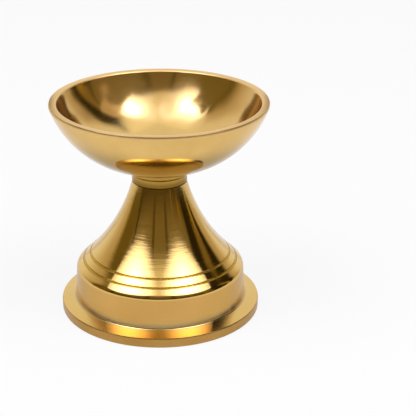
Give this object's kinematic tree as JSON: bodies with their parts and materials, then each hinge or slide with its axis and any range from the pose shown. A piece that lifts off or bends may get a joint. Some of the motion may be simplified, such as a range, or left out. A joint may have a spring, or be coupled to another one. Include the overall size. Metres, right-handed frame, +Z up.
{
  "type": "footed diya oil lamp",
  "caption": "Open footed brass diya: a round oil bowl clamped by a stud and nut to a hollow trumpet pedestal with turned grooves, a drum and a foot flange.",
  "frame": {"origin": "centre of the foot's underside, on the surface that the lamp stands on", "axes": "+Z up along the turning axis; the lamp is round, so +X and +Y are free"},
  "size_m": [0.0448, 0.0448, 0.0454],
  "materials": {
    "polished_brass": "lathe-turned and polished",
    "plain_brass": "as machined"
  },
  "bodies": {
    "pedestal": {"pedestal": "polished_brass", "washer": "plain_brass"},
    "bowl": {"bowl": "polished_brass", "bowl_stud": "plain_brass"},
    "nut": {"nut": "plain_brass"}
  },
  "joints": [
    {"name": "bowl_lift", "type": "slide", "parent": "pedestal", "child": "bowl", "axis": [0, 0, 1], "range_m": [0, 0.0048]},
    {"name": "nut_turn", "type": "hinge", "parent": "pedestal", "child": "nut", "pos_m": [0, 0, 0.02318], "axis": [0, 0, -1], "range_deg": [0, 2160]}
  ],
  "couplings": [
    {"joint": "nut_turn", "follows": "bowl_lift", "rad_per_m": 7854}
  ]
}
